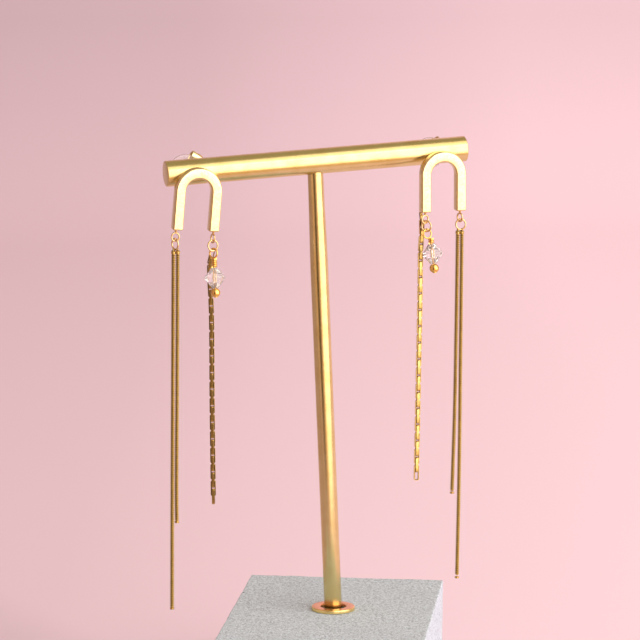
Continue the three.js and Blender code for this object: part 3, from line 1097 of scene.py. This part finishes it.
@dataclass
class Earring:
    """One earring: arch, stud back, jump rings, chains and drop."""

    side: Side
    stud_along: float
    stud_above: float
    swing_deg: float
    arch: Arch
    clutch_turn_deg: float
    pad_across: float
    pad_up: float
    snake_eye: tuple[float, float]
    drop_eye: tuple[float, float]
    snake_ring_deg: float
    drop_ring_deg: float
    pin_turn_deg: float
    pin_across: float
    tip_forward_deg: float
    tip_left_deg: float
    shaft_shift: float
    coils: int
    long_strand: tuple[Way, ...]
    short_strand: tuple[Way, ...]
    box_strand: tuple[Way, ...]
    back: StudBack = field(default_factory=StudBack)

    @property
    def tag(self) -> str:
        """The word that its pieces' names start with."""
        return self.side.name.lower()

    def build(self, stand: TBar, gilding: Gilding) -> None:
        """Model and dress every piece of the earring."""
        stud = shift(self.stud_along, 0, stand.bar_height + self.stud_above)
        on_stud = stand.frame @ stud @ turn("Y", -self.swing_deg)
        front = on_stud @ shift(y=-stand.bar_radius - HANG_GAP - self.arch.section / 2)
        self._arch(front, gilding)
        self._stud_back(on_stud, stand, gilding)
        self._jump_rings(gilding)
        self._strands(front, gilding)
        self._drop(gilding)

    def _give(self, obj: Piece, finish: Finish, slot: str, part: str) -> None:
        """Hand over a piece that stands for one of this earring's own nodes."""
        hand_over(obj, finish, slot, f"{self.tag}_{part}")

    def _arch(self, front: Matrix, gilding: Gilding) -> None:
        """The bow, its stud and its two eyes."""
        name = f"{self.tag}_arch_bow"
        bow = join(name, self.arch.bow(name), self.arch.stud(f"{self.tag}_arch_stud"))
        self._give(move(bow, front), gilding.polished, "polished_gold", "arch")
        outer = self.side.value
        eyes = (("snake", outer, self.snake_eye), ("drop", -outer, self.drop_eye))
        for label, side, (turn_deg, offset) in eyes:
            eye = self.arch.eye(f"{self.tag}_{label}_eye", side, offset, turn_deg)
            self._give(move(eye, front), gilding.ring, "polished_gold", "arch")

    def _stud_back(self, on_stud: Matrix, stand: TBar, gilding: Gilding) -> None:
        """Pad and clutch behind the bar."""
        behind = stand.bar_radius + HANG_GAP
        pad = self.back.pad(f"{self.tag}_pad", self.pad_across, self.pad_up)
        move(pad, on_stud @ shift(y=behind))
        self._give(pad, gilding.pad, "clear_pad", "clutch_pad")
        clutch = self.back.clutch(f"{self.tag}_butterfly")
        behind += self.back.pad_thickness + HANG_GAP
        move(clutch, on_stud @ shift(y=behind) @ turn("Y", -self.clutch_turn_deg))
        self._give(clutch, gilding.polished, "polished_gold", "clutch")

    def _ring_middle(self, label: str) -> Vector:
        """Where the frame has the middle of a jump ring."""
        low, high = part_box(f"{self.tag}_{label}_ring")
        return (low + high) / 2 / MM

    def _jump_rings(self, gilding: Gilding) -> None:
        """The two open jump rings, where the frame has them."""
        for label, turn_deg in (("snake", self.snake_ring_deg), ("drop", self.drop_ring_deg)):
            ring = wire_ring(f"{self.tag}_{label}_jump_ring", JUMP_RING.width, JUMP_RING.tall, JUMP_RING.wire,
                             turn_deg, slit_deg=3)
            middle = Matrix.Translation(self._ring_middle(label))
            self._give(move(ring, middle), gilding.ring, "warm_gold", f"{label}_ring")

    def _strands(self, front: Matrix, gilding: Gilding) -> None:
        """Two snake chains from the outer leg, a box chain from the inner one."""
        outer = front @ Vector((self.side.value * self.arch.leg_x, 0, self.arch.leg_end))
        inner = front @ Vector((-self.side.value * self.arch.leg_x, 0, self.arch.leg_end))
        plan = (
            ("snake_long", outer, self.long_strand, SnakeChain()),
            ("snake_short", outer, self.short_strand, SnakeChain()),
            ("box_chain", inner, self.box_strand, BoxChain()),
        )
        for label, start, ways, chain in plan:
            route = [start + Vector((way.across, way.back, -way.down)) for way in ways]
            strand = chain.build(f"{self.tag}_{label}_links", route)
            strand.name = f"{self.tag}_{label}_links"
            self._give(strand, gilding.chain, "chain_gold", label)

    def _drop(self, gilding: Gilding) -> None:
        """The crystal drop in the jump ring, tipped forward by the chain behind it."""
        hung = Matrix.Translation(self._ring_middle("drop"))
        hung = hung @ shift(self.pin_across, 0, -hang_distance(JUMP_RING, PIN_LOOP))
        hung = hung @ turn("Y", self.tip_left_deg) @ turn("X", -self.tip_forward_deg)
        drop = Drop(self.coils)
        pin = drop.pin(f"{self.tag}_pin", self.pin_turn_deg, self.shaft_shift)
        self._give(move(pin, hung), gilding.warm, "warm_gold", "head_pin")
        hung = hung @ shift(self.shaft_shift)
        self._give(move(drop.crystal(f"{self.tag}_bicone"), hung), gilding.crystal, "crystal", "crystal")
        self._give(move(drop.bead(f"{self.tag}_round_bead"), hung), gilding.warm, "warm_gold", "bead")


def left_earring() -> Earring:
    """The earring at the viewer's left."""
    return Earring(
        side=Side.LEFT, stud_along=-35.7, stud_above=0.35, swing_deg=-7.4, arch=Arch(18.2),
        clutch_turn_deg=64, pad_across=-2.0, pad_up=-0.75, snake_eye=(0, -0.3), drop_eye=(-75, 0.1),
        snake_ring_deg=-64, drop_ring_deg=4, pin_turn_deg=-51, pin_across=0.15, tip_forward_deg=11,
        tip_left_deg=0, shaft_shift=0.08, coils=5,
        long_strand=(Way(6.35, -1.1), Way(45, -1.4), Way(80, -1.7), Way(111.6, -1.88)),
        short_strand=(Way(6.35, 0.2), Way(45, -0.1), Way(80, -0.39), Way(85.9, -0.32)),
        box_strand=(Way(6.4, 0.1, 1.7), Way(9, -0.35, 2.4), Way(14, -0.3, 2.9), Way(20, 0.05, 3.0),
                    Way(25, 0.2, 3.0), Way(50, 0.35, 3.0), Way(81.4, 0.7, 3.0)),
    )


def right_earring() -> Earring:
    """The earring at the viewer's right."""
    return Earring(
        side=Side.RIGHT, stud_along=37.2, stud_above=-0.82, swing_deg=-2.0, arch=Arch(17.75),
        clutch_turn_deg=40, pad_across=-1.0, pad_up=-0.35, snake_eye=(-66, 0), drop_eye=(20, 0),
        snake_ring_deg=-10, drop_ring_deg=-36, pin_turn_deg=18, pin_across=0.3, tip_forward_deg=11,
        tip_left_deg=-4, shaft_shift=0.9, coils=3,
        long_strand=(Way(6.35, 0.68), Way(40, 0.64), Way(80, 0.56), Way(110.7, 0.2)),
        short_strand=(Way(6.35, -0.62), Way(40, -0.82), Way(59, -1.0), Way(84.8, -1.6)),
        box_strand=(Way(1.2, -0.65, 2.0), Way(5, -0.1, 2.6), Way(9.5, -0.4, 2.8), Way(13, -0.45, 2.9),
                    Way(25, -0.5, 2.9), Way(50, -0.8, 2.9), Way(80.9, -1.2, 2.9)),
    )


# ---- studio


@dataclass(frozen=True)
class Panel:
    """A soft light panel that looks at the earrings."""

    name: str
    azimuth_deg: float
    elevation_deg: float
    distance: float
    width: float
    height: float
    power: float
    colour: Colour = (1.0, 1.0, 1.0)

    def build(self, target: Vector) -> None:
        """Set the panel up, facing the target."""
        way = toward(self.azimuth_deg, self.elevation_deg)
        light = bpy.data.lights.new(self.name, "AREA")
        light.shape = "RECTANGLE"
        light.size, light.size_y = self.width, self.height
        light.energy = self.power
        light.color = self.colour
        holder = bpy.data.objects.new(self.name, light)
        holder.location = target + way * self.distance
        holder.rotation_euler = way.to_track_quat("Z", "Y").to_euler()
        holder.visible_camera = False
        bpy.context.scene.collection.objects.link(holder)


@dataclass
class Studio:
    """Camera, soft lights and a plain pale table that ends just in front of the block."""

    eye: Point = (-0.24193, -0.88280, 0.25625)
    target: Point = (-0.0044, 0.0, 0.11794)
    roll_deg: float = 0.19
    lens: float = 175.86
    sensor: float = 36.0
    table_front: float = 0.13
    table_back: float = 1.1
    table_side: float = 5.0
    table_roll: float = 0.02
    table_drop: float = 0.12
    sweep: float = 0.6
    wall: float = 1.6
    pink_room: Colour = (0.72, 0.46, 0.46)
    low_room: Colour = (0.90, 0.54, 0.32)
    ceiling: Colour = (0.42, 0.36, 0.25)
    dark_corner: Colour = (0.07, 0.05, 0.03)
    panels: tuple[Panel, ...] = (
        Panel("window", 35, 16, 3.0, 4.9, 3.3, 118.0, (1.0, 0.985, 0.96)),
        Panel("window_head", 35, 53, 3.0, 4.2, 1.9, 32.0, (1.0, 0.96, 0.86)),
        Panel("window_foot", 35, -20, 3.0, 4.9, 0.75, 17.0, (1.0, 0.96, 0.88)),
    )

    def build(self) -> None:
        """Set the whole studio up."""
        self._camera()
        self._table()
        self._room()
        for panel in self.panels:
            panel.build(Vector(self.target))

    def _camera(self) -> None:
        """The camera, a long lens from slightly above and to the left."""
        data = bpy.data.cameras.new("camera")
        data.lens = self.lens
        data.sensor_width = self.sensor
        data.clip_start = 0.01
        data.clip_end = 50
        camera = bpy.data.objects.new("camera", data)
        look = Vector(self.target) - Vector(self.eye)
        camera.location = self.eye
        turned_to = look.to_track_quat("-Z", "Y").to_matrix().to_4x4() @ turn("Z", self.roll_deg)
        camera.rotation_euler = turned_to.to_euler()
        bpy.context.scene.collection.objects.link(camera)
        bpy.context.scene.camera = camera

    def _table(self) -> None:
        """A wide pale sheet that sweeps up behind and rolls down in front."""
        roll = self.table_roll
        drop = [(0, -self.table_front - roll * math.sin(a), -roll * (1 - math.cos(a)))
                for a in arc(0, math.pi / 2, 8)]
        sweep = [(0, self.table_back + self.sweep * math.cos(a), self.sweep * (1 - math.sin(a)))
                 for a in arc(0, math.pi / 2, 24)]
        head = (0, self.table_back + self.sweep, self.wall)
        foot = (0, -self.table_front - roll, -self.table_drop)
        sheet = wire_line("table", [head, *sweep, *drop, foot])
        with editing(sheet):
            bpy.ops.transform.translate(value=(-self.table_side, 0, 0))
            extrude((2 * self.table_side, 0, 0))
        shade(sheet)
        sheet.data.materials.append(PalePaper().material())

    def _room(self) -> None:
        """Soft pink surroundings, dimmer overhead, with a dark place beside the camera."""
        g = Graph("room", surroundings=True)
        way = g.node("ShaderNodeTexCoord", out="Generated")
        walls = g.ramp(g.axis(way, "Z") * 0.5 + 0.5, (0.30, self.low_room), (0.50, self.pink_room),
                       (0.72, self.pink_room), (0.93, self.ceiling))
        near = g.ramp(g.facing(way, -38, -10, 0.35), (0.955, 0.0), (0.985, 1.0))
        colour = g.mix(near, walls, self.dark_corner)
        shine = g.node("ShaderNodeBackground", {}, {"Color": colour, "Strength": 1.0})
        g.tree.links.new(shine.socket, g.output.inputs["Surface"])
        bpy.context.scene.world = g.owner
        bpy.context.scene.view_settings.view_transform = "Standard"


# ---- main


def main() -> None:
    """Build the studio, the stand and the pair of earrings, in that order."""
    logging.basicConfig(level=logging.INFO, format="%(name)s %(message)s")
    Studio().build()
    stand = TBar()
    earrings = (left_earring(), right_earring())
    Block().build()
    SocketRing().build()
    stand.build([(earring.stud_along, earring.stud_above) for earring in earrings])
    polished = PolishedPlate("polished_gold", (0.84, 0.71, 0.38), (0.77, 0.61, 0.29), 0.10, 3e-5)
    gilding = Gilding(
        polished=polished.material(),
        ring=PolishedPlate("ring_gold", (0.84, 0.64, 0.34), (0.70, 0.48, 0.22), 0.05).material(),
        warm=PolishedPlate("warm_gold", (0.90, 0.60, 0.18), (0.80, 0.46, 0.10), 0.1).material(),
        chain=PolishedPlate("chain_gold", (0.64, 0.46, 0.16), (0.46, 0.30, 0.09), 0.2).material(),
        crystal=ClearStuff("crystal", (1.0, 1.0, 1.0), 0.01, 1.5, 0.84).material(),
        pad=ClearStuff("clear_pad", (0.97, 0.96, 0.96), 0.12, 1.42, 0.92).material(),
    )
    for earring in earrings:
        earring.build(stand, gilding)


if __name__ == "__main__":
    main()
